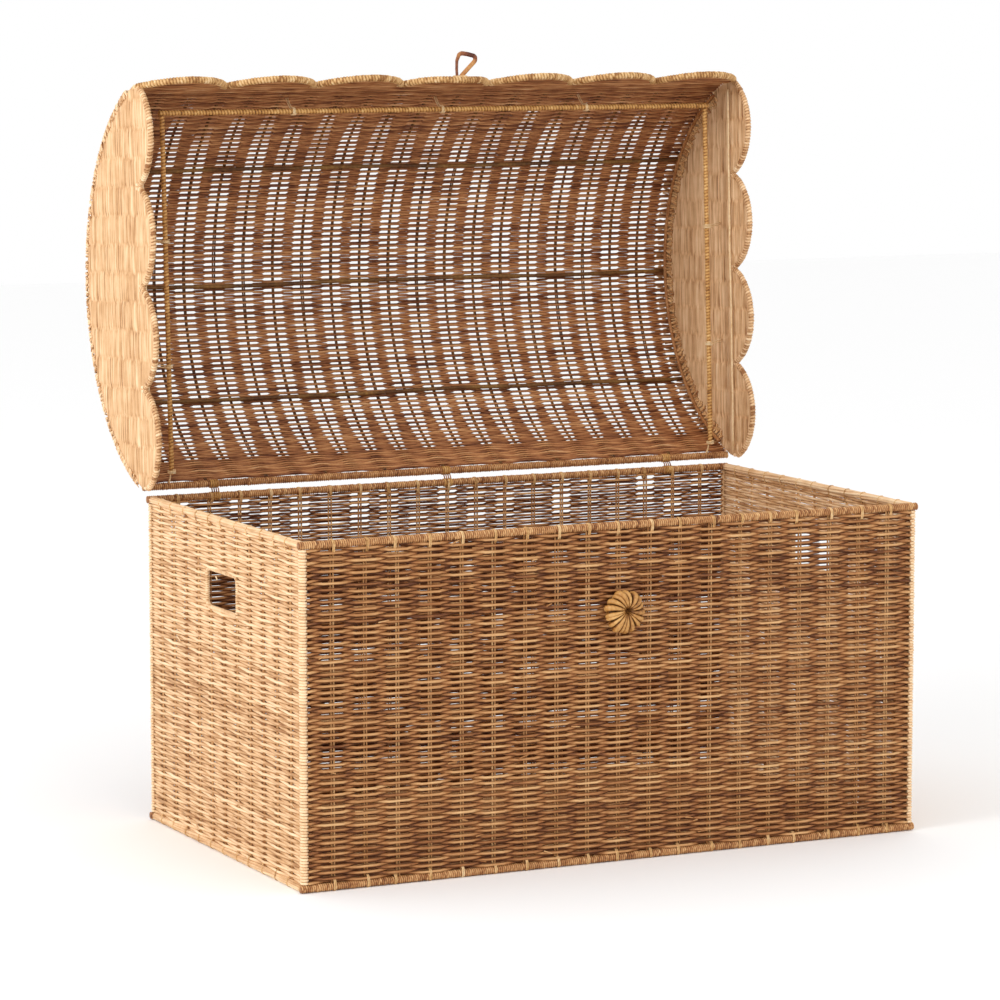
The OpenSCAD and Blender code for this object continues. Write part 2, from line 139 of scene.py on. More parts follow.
class Strands:
    """Many strands gathered into one mesh, with a tone for each point that the material reads."""

    def __init__(self, sides=6):
        self.sides = sides
        self.points, self.tones, self.quads, self.caps = [], [], [], []
        self.count = 0

    def add(self, path, normal, radius, tone=0.5, flat=1.0):
        """A strand along path. flat widens it across the normal; radius and tone are one value, or one for
        each point or each ring corner."""
        path = np.asarray(path, float)
        n = len(path)
        along = unit(np.gradient(path, axis=0))
        across = unit(np.cross(along, np.broadcast_to(normal, (n, 3))))
        out = np.cross(across, along)
        angle = TAU * (np.arange(self.sides) + 0.5) / self.sides
        r = np.broadcast_to(np.asarray(radius, float).reshape(-1, 1) if np.ndim(radius) == 1 else radius,
                            (n, self.sides))[..., None]
        ring = path[:, None] + r * (
            flat * np.cos(angle)[None, :, None] * across[:, None]
            + np.sin(angle)[None, :, None] * out[:, None])
        t = np.asarray(tone, float)
        t = np.broadcast_to(t.reshape(-1, 1) if t.ndim == 1 else t, (n, self.sides))
        k = np.arange(self.sides)
        i = np.arange(n - 1)[:, None] * self.sides
        nxt = (k + 1) % self.sides
        quads = np.stack([i + k, i + nxt, i + self.sides + nxt, i + self.sides + k], axis=-1)
        self.quads.append(quads.reshape(-1, 4) + self.count)
        self.caps.append(np.stack([k[::-1], (n - 1) * self.sides + k]) + self.count)
        self.points.append(ring.reshape(-1, 3))
        self.tones.append(t.reshape(-1))
        self.count += n * self.sides

    def wound(self, path, normal, radius, pitch, ridge=0.16, tone=0.6, vary=0.09, per_turn=5):
        """A bar wound with peel: its radius ripples along a helix, and each turn has its own tone. The tone
        is darkened in the grooves between the turns as painted shade.
        """
        path = resample(path, pitch / per_turn)
        turn = np.arange(len(path))[:, None] / per_turn + np.arange(self.sides)[None, :] / self.sides
        tones = tone + vary * rng.normal(size=int(turn.max()) + 2)
        fat = 0.03 * rng.normal(size=int(turn.max()) + 2)
        whole = turn.astype(int)
        ripple = np.abs(np.sin(math.pi * turn)) ** 0.7 - 1
        # The tone falls with the ripple: painted shade in the grooves between the turns.
        self.add(path, normal, radius * (1 + ridge * ripple + fat[whole]),
                 np.clip(tones[whole] + 0.8 * ripple, 0, 1))

    def make(self, name, body, material, slot, *nodes):
        mesh = bpy.data.meshes.new(name)
        points = np.concatenate(self.points)
        quads, caps = np.concatenate(self.quads), np.concatenate(self.caps)
        corners = np.concatenate([quads.reshape(-1), caps.reshape(-1)])
        starts = np.concatenate([np.arange(len(quads)) * 4,
                                 len(quads) * 4 + np.arange(len(caps)) * self.sides])
        mesh.vertices.add(len(points))
        mesh.vertices.foreach_set("co", points.astype(np.float32).reshape(-1))
        mesh.loops.add(len(corners))
        mesh.loops.foreach_set("vertex_index", corners.astype(np.int32))
        mesh.polygons.add(len(starts))
        mesh.polygons.foreach_set("loop_start", starts.astype(np.int32))
        mesh.polygons.foreach_set("use_smooth", np.ones(len(starts), bool))
        mesh.update(calc_edges=True)
        mesh.attributes.new("tone", "FLOAT", "POINT").data.foreach_set(
            "value", np.clip(np.concatenate(self.tones), 0, 1).astype(np.float32))
        mesh.materials.append(material)
        piece = bpy.data.objects.new(name, mesh)
        bpy.context.scene.collection.objects.link(piece)
        if body:
            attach(piece, body)
        if nodes:
            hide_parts(*nodes)
        return piece


def resample(path, step):
    """The same path in even steps of about that length."""
    path = np.asarray(path, float)
    s = np.concatenate([[0], np.cumsum(np.linalg.norm(np.diff(path, axis=0), axis=1))])
    even = np.linspace(0, s[-1], max(3, round(s[-1] / step) + 1))
    return np.stack([np.interp(even, s, path[:, i]) for i in range(3)], axis=-1)


def line(p, q, n=2):
    return np.linspace(p, q, n)


def wander(a, size, length):
    """A slow random wave of that size, for one strand at places a."""
    phase = rng.uniform(0, TAU, 2)
    return size * (0.6 * np.sin(TAU * a / length + phase[0])
                   + 0.4 * np.sin(TAU * a / length * 2.3 + phase[1]))


SHORTEST = 0.004  # a stretch of a row shorter than this is left out
CROSSING = 0.07  # share of the pitch over which a strand starts to cross over


def weave(strands, place, out, rows, spans, pitch, depth, slot, radius, tone, spread=0.13, heave=None,
          patchy=0.2, fine=True, edge=0.2, deep=0.3, swell=0.13):
    """Plain weave. place(a, b, d) gives points: a along a row, b across the rows, d outward. Stakes are at
    multiples of pitch. spans(b) lists the stretches of a row that exist. slot(b) gives how far a strand
    leans down where it passes outside a stake, and how far from the stake it does so as a share of the
    pitch. radius(b) is a strand's radius, and heave(b) the height of a wave that all the rows follow from
    stake to stake. spread is how much the strands differ in tone, and patchy how much the lean changes from
    place to place. fine adds a point to each crossing. edge darkens a strand along its two edges as painted
    shade, and deep darkens the side of a strand that is turned into the weave, also as painted shade;
    swell thickens it midway between the stakes."""
    phase = rng.uniform(0, TAU, 2)
    height = np.sin(TAU * (np.arange(strands.sides) + 0.5) / strands.sides)
    # Painted shade along each strand's two edges; its middle stays lighter.
    edges = -2 * edge * (1 - np.abs(height))
    for i, b in enumerate(rows):
        own_r = radius(b) * (1 + 0.04 * rng.normal())
        own_tone = tone + spread * rng.normal()
        lean, reach = slot(b)
        stops = np.array([0.0, reach, reach + CROSSING, 0.5])
        stops = stops if fine else stops[[0, 1, 3]]
        turns = np.array([0.0, *stops[1:], *(1 - stops[-2:0:-1])])
        for a0, a1 in spans(b):
            if a1 - a0 < SHORTEST:
                continue
            cells = np.arange(math.floor(a0 / pitch), math.ceil(a1 / pitch) + 1)
            grid = ((cells[:, None] + turns) * pitch).reshape(-1)
            a = np.concatenate([[a0], grid[(grid > a0 + 0.001) & (grid < a1 - 0.001)], [a1]])
            stake = np.floor(a / pitch + 0.5).astype(int)
            off = np.abs(a / pitch - stake)
            side = np.where((stake + i) % 2 == 0, 1.0, -1.0)
            knots = [0, reach, reach + CROSSING, 0.5]
            s = side * np.interp(off, knots, [1, 0.96, 0.66, 0])
            tilt = side * np.interp(off, knots, [1, 1, 0.08, 0])
            patch = 1 + patchy * (np.sin(1.9 * stake + 38 * b + phase[0])
                                  + np.sin(2.7 * stake - 61 * b + phase[1]))
            bb = b - lean * np.clip(patch, 0, 3) * tilt + wander(a, 0.0002, 0.11)
            if heave:
                bb = bb + heave(b) * np.cos(TAU * a / pitch)
            d = depth * s + wander(a, 0.0001, 0.07)
            r = own_r * (1 + swell * np.clip((off - reach) / 0.08, 0, 1) + wander(a, 0.05, 0.09))
            t = own_tone + wander(a, 0.12, 0.16)
            # Painted shade on the side of a strand turned into the weave: its outer side behind a stake, its
            # inner side in front of one.
            painted_recess_shade = deep * (1 - s[:, None] * np.sign(height)) / 2
            strands.add(place(a, bb, d), out(a, bb), r, t[:, None] + edges - painted_recess_shade)


# ---- materials ----

def shade(nodes, kind, **values):
    node = nodes.new(kind)
    for key, value in values.items():
        setattr(node, key, value)
    return node


def cane(name, colors, grain, rough=(0.5, 0.7), bump=0.35, coat=0.05, stain=0.3, lift=0.0):
    """Cane or peel: a ramp over each strand's tone, with fibres, blotches and a slight varnish. grain is the
    scale of the fibres' streaks on each axis. lift is for pieces that have no tone of their own."""
    material = bpy.data.materials.new(name)
    material.use_nodes = True
    tree = material.node_tree
    nodes, link = tree.nodes, tree.links.new
    surface = nodes["Principled BSDF"]
    place = shade(nodes, "ShaderNodeTexCoord")
    tone = shade(nodes, "ShaderNodeAttribute", attribute_name="tone")
    fibre_place = shade(nodes, "ShaderNodeMapping")
    fibre_place.inputs["Scale"].default_value = grain
    link(place.outputs["Object"], fibre_place.inputs["Vector"])
    fibre = shade(nodes, "ShaderNodeTexNoise")
    fibre.inputs["Scale"].default_value = 1.0
    fibre.inputs["Detail"].default_value = 4.0
    link(fibre_place.outputs["Vector"], fibre.inputs["Vector"])
    blotch = shade(nodes, "ShaderNodeTexNoise")
    blotch.inputs["Scale"].default_value = 60.0
    blotch.inputs["Detail"].default_value = 3.0
    link(place.outputs["Object"], blotch.inputs["Vector"])

    def math_node(operation, a, b):
        node = shade(nodes, "ShaderNodeMath", operation=operation)
        for socket, value in zip(node.inputs, (a, b)):
            if isinstance(value, (int, float)):
                socket.default_value = value
            else:
                link(value, socket)
        return node.outputs[0]

    fibre_off = math_node(
        "MULTIPLY", math_node("SUBTRACT", fibre.outputs["Fac"], 0.5 - lift), 0.9)
    blotch_off = math_node(
        "MULTIPLY", math_node("SUBTRACT", blotch.outputs["Fac"], 0.5), 2 * stain)
    mixed = math_node("ADD", math_node("ADD", tone.outputs["Fac"], fibre_off), blotch_off)
    ramp = shade(nodes, "ShaderNodeValToRGB")
    stops = ramp.color_ramp.elements
    while len(stops) < len(colors):
        stops.new(0.5)
    for k, (stop, color) in enumerate(zip(stops, colors)):
        stop.position = k / (len(colors) - 1)
        stop.color = (*color, 1)
    link(mixed, ramp.inputs["Fac"])
    link(ramp.outputs["Color"], surface.inputs["Base Color"])
    roughness = shade(nodes, "ShaderNodeMapRange")
    roughness.inputs["To Min"].default_value = rough[0]
    roughness.inputs["To Max"].default_value = rough[1]
    link(fibre.outputs["Fac"], roughness.inputs["Value"])
    link(roughness.outputs["Result"], surface.inputs["Roughness"])
    raised = shade(nodes, "ShaderNodeBump")
    raised.inputs["Strength"].default_value = bump
    raised.inputs["Distance"].default_value = 0.0004
    link(fibre.outputs["Fac"], raised.inputs["Height"])
    link(raised.outputs["Normal"], surface.inputs["Normal"])
    surface.inputs["Specular IOR Level"].default_value = 0.3
    surface.inputs["Coat Weight"].default_value = coat
    surface.inputs["Coat Roughness"].default_value = 0.35
    return material


def srgb(*levels):
    """Linear colour of 8-bit screen levels."""
    return tuple(((c / 255 + 0.055) / 1.055) ** 2.4 for c in levels)


ALONG_X = (14, 700, 700)
ALONG_Y = (700, 14, 700)
ALONG_Z = (700, 700, 14)
ROUND = (300, 300, 300)
WARM = [srgb(92, 48, 20), srgb(158, 102, 56), srgb(196, 144, 92), srgb(226, 182, 128)]
DOME = [srgb(98, 50, 24), srgb(158, 100, 58), srgb(194, 138, 88), srgb(222, 174, 126)]
PALE = [srgb(150, 98, 54), srgb(208, 162, 114), srgb(236, 198, 154), srgb(248, 220, 180)]
GOLD = [srgb(110, 66, 26), srgb(178, 124, 62), srgb(208, 158, 92), srgb(230, 190, 128)]
PEEL = [srgb(150, 100, 52), srgb(206, 160, 102), srgb(228, 190, 138), srgb(242, 216, 172)]
# The lid's stakes and bars: darker than the base's stake cane, partly by their own colour and partly as
# painted shade.
DARK_AND_SHADED = [srgb(56, 30, 14), srgb(92, 58, 28), srgb(126, 88, 42), srgb(160, 120, 62)]
STRAP = [srgb(70, 30, 16), srgb(128, 70, 42), srgb(176, 116, 66), srgb(206, 152, 90)]

front_cane = cane("front_cane", WARM, ALONG_X)
end_cane = cane("end_cane", PALE, ALONG_Y)
dome_cane = cane("dome_cane", DOME, ALONG_X)
gable_cane = cane("gable_cane", PALE, ALONG_Z, stain=0.2)
stake_cane = cane("stake_cane", WARM, ALONG_Z)
hoop_cane = cane("hoop_cane", DARK_AND_SHADED, ROUND)
long_peel = cane("long_peel", GOLD, ROUND, bump=0.25, coat=0.1)
rim_peel = cane("rim_peel", WARM, ROUND, bump=0.25, coat=0.1)
end_peel = cane("end_peel", PALE, ALONG_Y, coat=0.1)
tie_peel = cane("tie_peel", PEEL, ROUND, bump=0.2)
honey_peel = cane("honey_peel", GOLD, ROUND, coat=0.2, rough=(0.35, 0.55), stain=0.2)
strap_peel = cane("strap_peel", STRAP, ROUND, coat=0.2, stain=0.2)
plain_peel = cane("plain_peel", PEEL, ROUND, lift=0.6)
plain_cane = cane("plain_cane", WARM, ALONG_Y, lift=0.5)


# ---- base ----

ROW_PITCH = 0.003415
STRAND_R = 0.00148
WALL_DEPTH, END_DEPTH = 0.0023, 0.0015
FOOT = 0.055
OPEN_BACK = 0.33
WALL_Y = HALF_D - RIM_R
WALL_X = HALF_W - RIM_R
LONG_N, END_N = 20, 12
CORNER_R = 0.0036
ROD_R, ROD_APART = 0.00105, 0.0016  # radius of a stake's two rods, and how far each is off its middle


def base_rows():
    n = round((WALL_TOP - WALL_BOTTOM) / ROW_PITCH)
    rows = np.linspace(WALL_BOTTOM + 0.0015, WALL_TOP - 0.0015, n)
    return rows + rng.normal(0, 0.00012, n)


ROWS = base_rows()


def wall_slot(face):
    """How far the strands of a wall lean and how far from the stakes: the slots close up near the foot, they
    are short in the end walls, and the back wall is open only near its top."""
    def slot(z):
        foot = float(np.clip((z - WALL_BOTTOM - 0.02) / FOOT, 0.45, 1))
        if face == "front":
            return 0.00045 * foot, 0.29
        if face == "back":
            return 0.0002 + 0.0006 * float(np.clip((z - OPEN_BACK) / 0.02, 0, 1)), 0.28
        return 0.00045 * foot, 0.11
    return slot


def wall_strand(face):
    """Strand radius by height: the strands of the end walls and of the lower back wall lie close together."""
    def radius(z):
        if face == "back":
            return STRAND_R * (1.18 if z < OPEN_BACK else 1.0)
        return STRAND_R * (1.17 if face == "front" else 1.12)
    return radius


def wall_place(face):
    """place() for a wall: face is front, back, left or right, and a runs from one corner to the other."""
    def place(a, b, d):
        if face in ("front", "back"):
            y = WALL_Y * (1 if face == "back" else -1)
            return np.stack([a - HALF_W, y + np.sign(y) * d, b], axis=-1)
        x = WALL_X * (1 if face == "right" else -1)
        return np.stack([x + np.sign(x) * d, a - HALF_D, b], axis=-1)
    return place


def wall_out(face):
    out = {"front": (0, -1, 0), "back": (0, 1, 0), "left": (-1, 0, 0), "right": (1, 0, 0)}[face]
    return lambda a, b: np.array(out, float)


def handhole(face):
    """Middle and half size of a hand-hole's binding; it sits a little towards the back."""
    box_low, box_high = low(f"{face}_handhole_rim"), high(f"{face}_handhole_rim")
    return (box_low + box_high) / 2 + (0, 0.004, 0), (box_high - box_low) / 2 + (0, 0.001, 0.001)


def wall_spans(face, length):
    start, end = 2 * RIM_R - 0.001, length - 2 * RIM_R + 0.001
    if face in ("front", "back"):
        return lambda b: [(start, end)]
    middle, half = handhole(face)
    edge = 0.0025

    def spans(b):
        up = abs(b - middle[2])
        if up > half[2] - 0.002:
            return [(start, end)]
        bulge = half[1] - edge
        return [(start, middle[1] + HALF_D - bulge), (middle[1] + HALF_D + bulge, end)]
    return spans


def stray_ends(strands, place, out, count, a_range, b_range, depth, length=0.011, tone=0.6):
    """Cut ends of joined strands that stand a little proud of the weave."""
    for _ in range(count):
        a, b = rng.uniform(*a_range), rng.uniform(*b_range)
        run = rng.choice(SIDES) * rng.uniform(0.5, 1.3) * length
        t = np.linspace(0, 1, 4)
        path = place(a + run * t, b + 0.0015 * rng.normal() * t, depth + 0.0018 * t ** 2)
        strands.add(path, out(a, b), 0.0009 * np.linspace(1, 0.75, 4), tone + 0.15 * rng.normal())


for face, material, slot in (("front", front_cane, "cane_warm"), ("back", front_cane, "cane_warm"),
                             ("left", end_cane, "cane_pale"), ("right", end_cane, "cane_pale")):
    long_side = face in ("front", "back")
    length = 2 * (HALF_W if long_side else HALF_D)
    pitch = length / (LONG_N if long_side else END_N)
    place, out = wall_place(face), wall_out(face)
    woven = Strands(6)
    # edge and deep set the painted shade on the strands' edges and on their sides turned into the weave.
    weave(woven, place, out, ROWS, wall_spans(face, length), pitch, WALL_DEPTH if long_side else END_DEPTH,
          wall_slot(face), wall_strand(face), 0.66 if long_side else 0.68,
          patchy=0.6 if face == "back" else 0.35, edge=0.25 if long_side else 0.12,
          deep=0.55 if long_side else 0.3)
    woven.make(f"{face}_weave", "base", material, slot, f"{face}_wall")

    rods = Strands(6)
    for j in range(1, LONG_N if long_side else END_N):
        stretches = [(WALL_BOTTOM - 0.002, WALL_TOP + 0.003)]
        if not long_side:
            middle, half = handhole(face)
            if abs(j * pitch - HALF_D - middle[1]) < half[1]:
                stretches = [(WALL_BOTTOM - 0.002, middle[2] - half[2] + 0.004),
                             (middle[2] + half[2] - 0.004, WALL_TOP + 0.003)]
        for off in (-ROD_APART, ROD_APART):
            lean = 0.0006 * rng.normal()
            # Each rod's tone is set high: partly the rods' own pale colour and partly painted light.
            own = rng.uniform(0.5, 0.95)
            for z0, z1 in stretches:
                z = np.linspace(z0, z1, 5)
                rods.add(place(j * pitch + off + lean * (z - z0), z, np.zeros(5)), out(0, 0), ROD_R, own)
    rods.make(f"{face}_stake_rods", "base", stake_cane, "stake", f"{face}_stakes")

    ends = Strands(5)
    stray_ends(ends, place, out, 60 if long_side else 35, (0.02, length - 0.02), (WALL_BOTTOM, WALL_TOP),
               0.0030)
    ends.make(f"{face}_stray_ends", "base", material, slot)

for i, (sx, sy) in enumerate(((-1, -1), (1, -1), (-1, 1), (1, 1)), start=1):
    corner = Strands(6)
    cx, cy = sx * (WALL_X - 0.0012), sy * (WALL_Y - 0.0012)
    turn = np.linspace(0, math.pi / 2, 5)
    for z in ROWS:
        r = CORNER_R * (1 + 0.04 * rng.normal())
        round_it = np.stack(
            [cx + sx * r * np.cos(turn), cy + sy * r * np.sin(turn), np.full(5, z)], axis=-1)
        first, last = round_it[0].copy(), round_it[-1].copy()
        first[1] -= sy * 0.0040
        first[0] -= sx * 0.0008
        last[0] -= sx * 0.0026
        last[1] -= sy * 0.0012
        path = np.concatenate([[first], round_it, [last]])
        corner.add(path, UP, STRAND_R * 1.12, 0.8 + 0.1 * rng.normal())
    post_z = np.linspace(WALL_BOTTOM, WALL_TOP, 4)
    post = np.stack([np.full(4, cx), np.full(4, cy), post_z], axis=-1)
    corner.add(post, (1, 0, 0), CORNER_R - 0.0008, 0.3)
    corner.make(f"corner_wrap_{i}", "base", end_cane, "cane_pale", f"corner_post_{i}")

floor_low, floor_high = low("floor_panel"), high("floor_panel")
floor = Strands(5)
floor_z = (floor_low[2] + floor_high[2]) / 2
# The floor strands keep the default painted edge shade, and deep sets their painted shade on the sides turned
# into the weave.
weave(floor, lambda a, b, d: np.stack([a - HALF_W, b, floor_z + d], axis=-1), lambda a, b: UP,
      np.arange(floor_low[1] + 0.002, floor_high[1], 0.0035),
      lambda b: [(HALF_W + floor_low[0], HALF_W + floor_high[0])],
      2 * HALF_W / LONG_N, 0.0012, lambda b: (0.0, 0.25), lambda b: 0.00175, 0.6, fine=False, deep=0.2)
for j in range(1, LONG_N):
    x = -HALF_W + j * 2 * HALF_W / LONG_N
    floor.add(line((x, floor_low[1], floor_z), (x, floor_high[1], floor_z), 3), UP, 0.0011, 0.3)
floor.make("floor_weave", "base", front_cane, "cane_warm", "floor_panel")


# Rims. The long ones are wound tightly; the end ones are bundles of this many strands along the bar.
BUNDLE = 7
for level, z in (("top", HEIGHT - RIM_R), ("bottom", RIM_R)):
    for face, y in (("front", -WALL_Y), ("back", WALL_Y)):
        bar = Strands(12)
        bar.wound(line((-HALF_W, y, z), (HALF_W, y, z)), UP, RIM_R, 0.0026, ridge=0.34, tone=0.72, vary=0.14)
        bar.make(f"{level}_{face}_wound_rim", "base", rim_peel, "rim_peel", f"{level}_rim_{face}")
    for face, x in (("left", -WALL_X), ("right", WALL_X)):
        bar = Strands(8)
        y = np.linspace(-HALF_D + 2 * RIM_R, HALF_D - 2 * RIM_R, 80)
        bar.add(np.stack([np.full(80, x), y, np.full(80, z)], axis=-1), UP, RIM_R * 0.62, 0.35)
        r = RIM_R * 0.62
        for k in range(BUNDLE):
            a = TAU * k / BUNDLE + y * 6 + 0.25 * np.sin(y * 40 + k)
            path = np.stack([x + r * np.cos(a), y, z + r * np.sin(a)], axis=-1)
            bar.add(path, UP, RIM_R * 0.36, 0.62 + 0.12 * rng.normal() + wander(y, 0.1, 0.1))
        bar.make(f"{level}_{face}_bundle_rim", "base", end_peel, "rim_peel", f"{level}_rim_{face}")


TIE_R = 0.0005


def tie_turns(strands, centre, axis, across, reach, turns, width, down, tone):
    """A few turns of flat peel around a bar; down stretches them over the rows below the bar, or above it if
    negative."""
    axis, across = np.asarray(axis, float), np.asarray(across, float)
    n = 10 * turns + 1
    a = np.linspace(0, TAU * turns, n)
    shift = np.linspace(-0.5, 0.5, n) * width * 2.2 * turns
    z = np.sin(a) * reach
    z = z * np.where(z * down < 0, 1 + abs(down) / reach, 1)
    path = (np.asarray(centre)[None] + shift[:, None] * axis + (np.cos(a) * reach)[:, None] * across
            + z[:, None] * UP)
    strands.add(path, unit(path - np.asarray(centre)[None] + 1e-9), TIE_R, tone + 0.12 * rng.normal(),
                flat=width / TIE_R)


def ties_of(face):
    strands = Strands(6)
    long_side = face in ("front", "back")
    count = LONG_N if long_side else END_N
    half = HALF_W if long_side else HALF_D
    sign = -1 if face in ("front", "left") else 1
    for j in range(1, count):
        at = -half + j * 2 * half / count + 0.002 * rng.normal()
        for z, down in ((HEIGHT - RIM_R, 0.008), (RIM_R, -0.006)):
            if long_side:
                centre, axis, across = (at, sign * WALL_Y, z), (1, 0, 0), (0, 1, 0)
            else:
                centre, axis, across = (sign * WALL_X, at, z), (0, 1, 0), (1, 0, 0)
            reach = RIM_R + 0.0002
            tie_turns(strands, centre, axis, across, reach, 2 if long_side else 1, 0.0008,
                      down * rng.uniform(0.4, 1.0), 0.45)
    strands.make(f"{face}_rim_tie_turns", "base", tie_peel, "tie_peel", f"rim_ties_{face}")


for face in ("front", "back", "left", "right"):
    ties_of(face)

for face, side in (("left", -1), ("right", 1)):
    middle, half = handhole(face)
    wrap = Strands(8)
    hy, hz, corner_r = half[1] - 0.0023, half[2] - 0.0023, 0.008
    loop = []
    for qy, qz, start in ((1, 1, 0), (-1, 1, 90), (-1, -1, 180), (1, -1, 270)):
        for k in range(7):
            a = math.radians(start + 15 * k)
            loop.append((middle[0], middle[1] + qy * (hy - corner_r) + corner_r * math.cos(a),
                         middle[2] + qz * (hz - corner_r) + corner_r * math.sin(a)))
    loop.append(loop[0])
    wrap.wound(loop, (side, 0, 0), 0.0027, 0.0026, tone=0.75)
    wrap.make(f"{face}_handhole_wrap", "base", end_cane, "honey_peel", f"{face}_handhole_rim")


# ---- lid ----

LID_PITCH = 2 * HALF_W / LONG_N
ARC = DOME_MID * (DOME_BACK - DOME_FRONT)
SCALLOP_N, END_SCALLOP_N = 7, 4
BACK_BAND, FRONT_BAND = 0.042, 0.028
DOME_DEPTH = 0.0012
SKIRT_TOP_V = DOME_V + DOME_MID * math.sin(DOME_FRONT)
LOOP_X = (lid_box("loop_eye")[0][0] + lid_box("loop_eye")[1][0]) / 2


def flare(v, x):
    """How far the scalloped edge stands out below the notches; it leaves room for the loop to swing."""
    below = np.clip((NOTCH_V + 0.010 - np.asarray(v)) / (NOTCH_V + 0.010 - SCALLOP_LOW), 0, 1)
    return 0.008 * below ** 1.4 * (1 - 0.45 * np.exp(-((x - LOOP_X) / 0.035) ** 2))


def dome_place(a, b, d):
    """a is x from the left end, b the way round the dome from the back and down the skirt, d outward."""
    a, b, d = np.broadcast_arrays(a, b, d)
    angle = np.maximum(DOME_BACK - b / DOME_MID, DOME_FRONT)
    past = np.maximum(b - ARC, 0)
    u = DOME_U + (DOME_MID + d) * np.cos(angle)
    v = DOME_V + (DOME_MID + d) * np.sin(angle)
    v = np.where(past > 0, SKIRT_TOP_V - past, v)
    u = np.where(past > 0, SKIRT_U + d + flare(v, a - HALF_W), u)
    return lid_point(a - HALF_W, u, v)


def dome_out(a, b):
    angle = np.maximum(DOME_BACK - np.asarray(b) / DOME_MID, DOME_FRONT)
    return lid_direction(0, np.cos(angle), np.sin(angle))


def lobe_radius(pitch):
    rise = NOTCH_V - SCALLOP_LOW
    return (pitch * pitch / 4 + rise * rise) / (2 * rise)


def lobe_spans(v, first, pitch, count, inset):
    """The stretches of a row at height v below the notches that lie inside the lobes."""
    r = lobe_radius(pitch)
    across = (r - inset) ** 2 - (v - SCALLOP_LOW - r) ** 2
    if across <= 0:
        return []
    half = min(math.sqrt(across), pitch / 2 - 0.0005)
    return [(first + (i + 0.5) * pitch - half, first + (i + 0.5) * pitch + half) for i in range(count)]


def dome_spans(b):
    ends = (HALF_W - GABLE_IN + 0.001, HALF_W + GABLE_IN - 0.001)
    if b <= ARC:
        return [ends]
    v = SKIRT_TOP_V - (b - ARC)
    if v > NOTCH_V:
        return [ends]
    lobes = lobe_spans(v, HALF_W - GABLE_OUT, 2 * GABLE_OUT / SCALLOP_N, SCALLOP_N, 0.003)
    return [(max(a0, ends[0]), min(a1, ends[1])) for a0, a1 in lobes]


def dome_slot(b):
    """The slots are widest and longest round the middle of the dome and close up towards its back and front.
    The lean follows the slope of the dome, so that the slots of the open lid face forward."""
    if not BACK_BAND < b < ARC - FRONT_BAND:
        return 0.0002, 0.16
    from_back = np.clip((b - BACK_BAND) / 0.06, 0, 1)
    from_front = np.clip((ARC - FRONT_BAND - b) / 0.10, 0, 1)
    openness = float(min(from_back, from_front))
    lean = np.clip(0.00098 + DOME_DEPTH / math.tan(DOME_BACK - b / DOME_MID), 0.0007, 0.0024)
    return float(lean) * (0.6 + 0.4 * openness), 0.12 + 0.17 * openness


def dome_heave(b):
    """The tight rows by the hinge run in waves."""
    return 0.0016 * float(np.clip(1 - abs(b - BACK_BAND / 2) / (BACK_BAND / 2), 0, 1))


def dome_rows():
    rows, b = [], 0.0015
    end = ARC + SKIRT_TOP_V - SCALLOP_LOW - 0.004
    while b < end:
        rows.append(b)
        b += 0.0024 if b < BACK_BAND else 0.0028 if b > ARC - FRONT_BAND else 0.0035
    return np.array(rows)


# The dome's weave in three pieces. Three pieces, each within the limit on a piece's
# triangles.
dome_groups = np.split(dome_rows(), [76, 146])
for name, rows, nodes in (("dome_weave_back", dome_groups[0], ("dome_panel",)),
                          ("dome_weave_middle", dome_groups[1], ("dome_panel",)),
                          ("dome_weave_front", dome_groups[2], ("dome_panel", "front_skirt"))):
    woven = Strands(6)
    # edge and deep set the painted shade on the dome's strands.
    weave(woven, dome_place, dome_out, rows, dome_spans, LID_PITCH, DOME_DEPTH, dome_slot,
          lambda b: 0.00148, 0.58, heave=dome_heave, patchy=0.12, edge=0.2, deep=0.2, swell=0.26)
    woven.make(name, "lid", dome_cane, "cane_warm", *nodes)

hoops = Strands(6)
for j in range(1, LONG_N):
    for off in (-0.0010, 0.0010):
        b = np.linspace(0, ARC + SKIRT_TOP_V - NOTCH_V, 40)
        a = j * LID_PITCH + off + wander(b, 0.0004, 0.3)
        hoops.add(dome_place(a, b, np.zeros(40)), dome_out(a, b), 0.00105, rng.uniform(0.2, 0.6))
hoops.make("dome_hoops", "lid", hoop_cane, "stake", "dome_stakes")

GABLE_ROW = 0.00175
GABLE_STAKES = 14
GABLE_PITCH = (LID_FRONT - GABLE_BACK) / GABLE_STAKES
END_PITCH = (LID_FRONT - GABLE_BACK) / END_SCALLOP_N


def gable_spans(v):
    """a is measured from the gable's back edge."""
    if v < NOTCH_V:
        return lobe_spans(v, 0.0, END_PITCH, END_SCALLOP_N, 0.003)
    reach = math.sqrt(max((DOME_R - 0.004) ** 2 - (v - DOME_V) ** 2, 0))
    first = max(DOME_U - reach - GABLE_BACK, 0.0015)
    last = min(DOME_U + reach - GABLE_BACK, LID_FRONT - GABLE_BACK - 0.0015)
    return [(first, last)] if last > first else []


def edge_angles():
    """Angles of the dome's outline where a gable meets it."""
    a = math.asin((0.012 - DOME_V) / DOME_R)
    return a, math.pi - a


